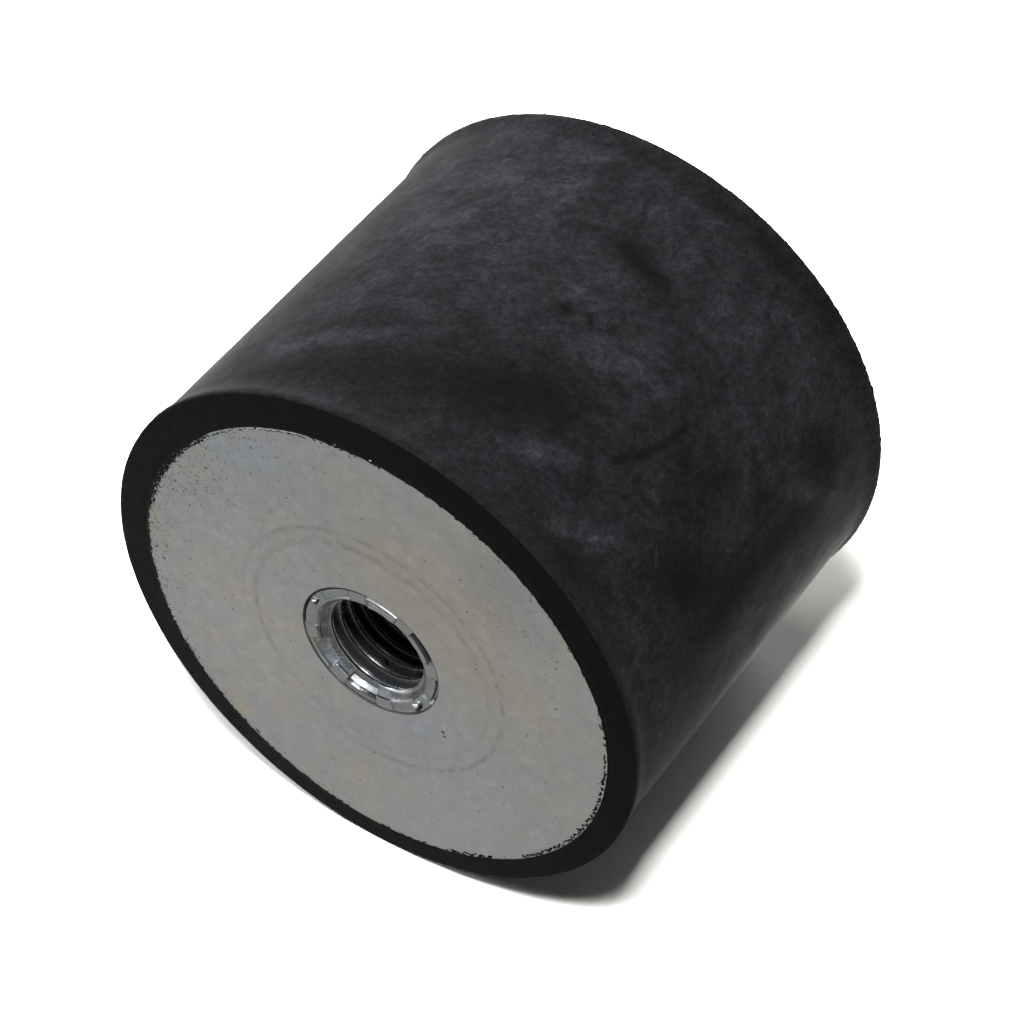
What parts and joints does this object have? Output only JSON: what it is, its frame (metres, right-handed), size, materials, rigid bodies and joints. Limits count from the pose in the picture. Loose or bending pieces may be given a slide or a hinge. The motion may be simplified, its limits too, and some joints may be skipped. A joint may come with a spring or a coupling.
{
  "type": "bobbin vibration mount",
  "caption": "Cylindrical rubber vibration mount moulded between round steel end plates, with a staked blind threaded insert on the axis at each end.",
  "frame": {"origin": "centre of the bottom plate's face, which the mount stands on", "axes": "+Z along the mount's axis, from the bottom plate to the top plate; the mount is round, and X and Y only fix where the stakes lie"},
  "size_m": [0.075, 0.075, 0.06],
  "materials": {
    "black_rubber": "satin moulded rubber with a faint grey bloom",
    "zinc_plate": "dull zinc plating with a faint iridescence",
    "bright_zinc": "bright zinc plating"
  },
  "bodies": {
    "root": {"rubber_body": "black_rubber", "top_plate": "zinc_plate", "bottom_plate": "zinc_plate", "top_insert": "bright_zinc", "bottom_insert": "bright_zinc"}
  },
  "joints": []
}
